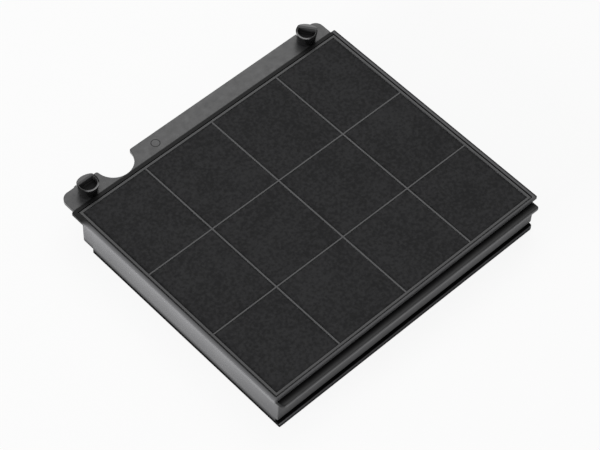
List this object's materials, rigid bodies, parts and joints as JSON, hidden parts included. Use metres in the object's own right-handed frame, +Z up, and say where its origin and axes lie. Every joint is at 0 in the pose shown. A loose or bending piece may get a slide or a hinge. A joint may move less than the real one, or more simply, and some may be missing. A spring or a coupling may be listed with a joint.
{
  "type": "cooker hood carbon filter",
  "caption": "Flat black activated-carbon filter cassette for a cooker hood, with gridded fleece faces, a front ledge and a notched rear flange carrying turn latches.",
  "frame": {"origin": "on the surface that the cassette rests on, under the middle of the grid, where the middle rib crosses it", "axes": "+X along the rear flange, +Y from the front ledge to the flange, +Z up through the face that carries the knobs"},
  "size_m": [0.225, 0.2083, 0.037],
  "materials": {
    "case_plastic": "black moulded polypropylene, satin",
    "grille_plastic": "black moulded polypropylene, matt",
    "fleece": "black needled polyester fleece",
    "carbon": "loose activated carbon grains",
    "knob_plastic": "black acetal, glossy",
    "tongue_plastic": "black acetal, satin",
    "screw_steel": "zinc plated steel"
  },
  "bodies": {
    "cassette": {"filter_frame": "case_plastic", "top_grille": "grille_plastic", "top_fleece": "fleece", "bottom_frame": "grille_plastic", "bottom_fleece": "fleece", "carbon_bed_1_1": "carbon", "carbon_bed_1_2": "carbon", "carbon_bed_1_3": "carbon", "carbon_bed_1_4": "carbon", "carbon_bed_2_1": "carbon", "carbon_bed_2_2": "carbon", "carbon_bed_2_3": "carbon", "carbon_bed_2_4": "carbon", "carbon_bed_3_1": "carbon", "carbon_bed_3_2": "carbon", "carbon_bed_3_3": "carbon", "carbon_bed_3_4": "carbon"},
    "latch_left": {"latch_knob_left": "knob_plastic", "latch_tongue_left": "tongue_plastic", "latch_screw_left": "screw_steel"},
    "latch_right": {"latch_knob_right": "knob_plastic", "latch_tongue_right": "tongue_plastic", "latch_screw_right": "screw_steel"}
  },
  "joints": [
    {"name": "latch_left_turn", "type": "hinge", "parent": "cassette", "child": "latch_left", "pos_m": [-0.0933, 0.0993, 0.0278], "axis": [0, 0, 1], "range_deg": [-90, 0]},
    {"name": "latch_right_turn", "type": "hinge", "parent": "cassette", "child": "latch_right", "pos_m": [0.0933, 0.0993, 0.0278], "axis": [0, 0, 1], "range_deg": [-38, 52]}
  ]
}
